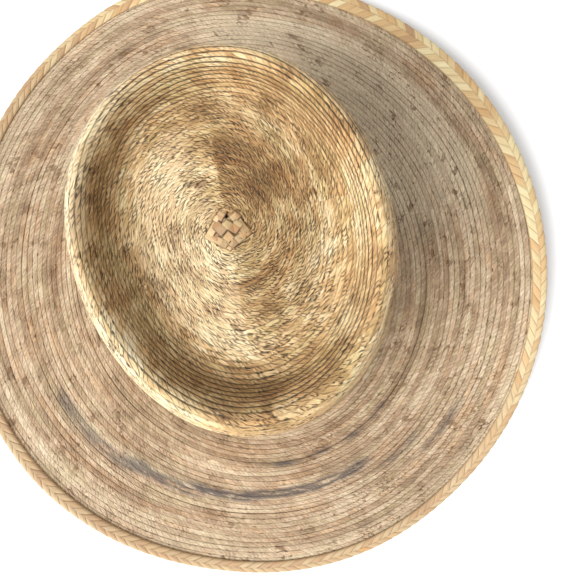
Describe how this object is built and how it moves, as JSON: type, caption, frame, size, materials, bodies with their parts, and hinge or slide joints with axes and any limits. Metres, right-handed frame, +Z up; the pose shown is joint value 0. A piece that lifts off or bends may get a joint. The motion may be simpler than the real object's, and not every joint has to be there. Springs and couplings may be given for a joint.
{
  "type": "straw cowboy hat",
  "caption": "Woven palm-straw cowboy hat with an oval telescope crown, a wide round brim curled up a little at the sides, and a braided edge.",
  "frame": {"origin": "on the surface that the hat rests on, under the middle of the brim's outline", "axes": "+Z up through the crown, +Y towards the back of the hat along the crown's long axis, +X to the wearer's right"},
  "size_m": [0.3782, 0.4044, 0.1146],
  "materials": {
    "crown_straw": "woven palm leaf, golden with brown flecks, matt with a slight leaf sheen",
    "brim_straw": "woven palm leaf, greyer and browner than the crown, matt",
    "edge_straw": "pale braided palm leaf, matt with a slight leaf sheen"
  },
  "bodies": {
    "root": {"crown": "crown_straw", "brim": "brim_straw", "edge_braid": "edge_straw", "crown_button": "crown_straw"}
  },
  "joints": []
}
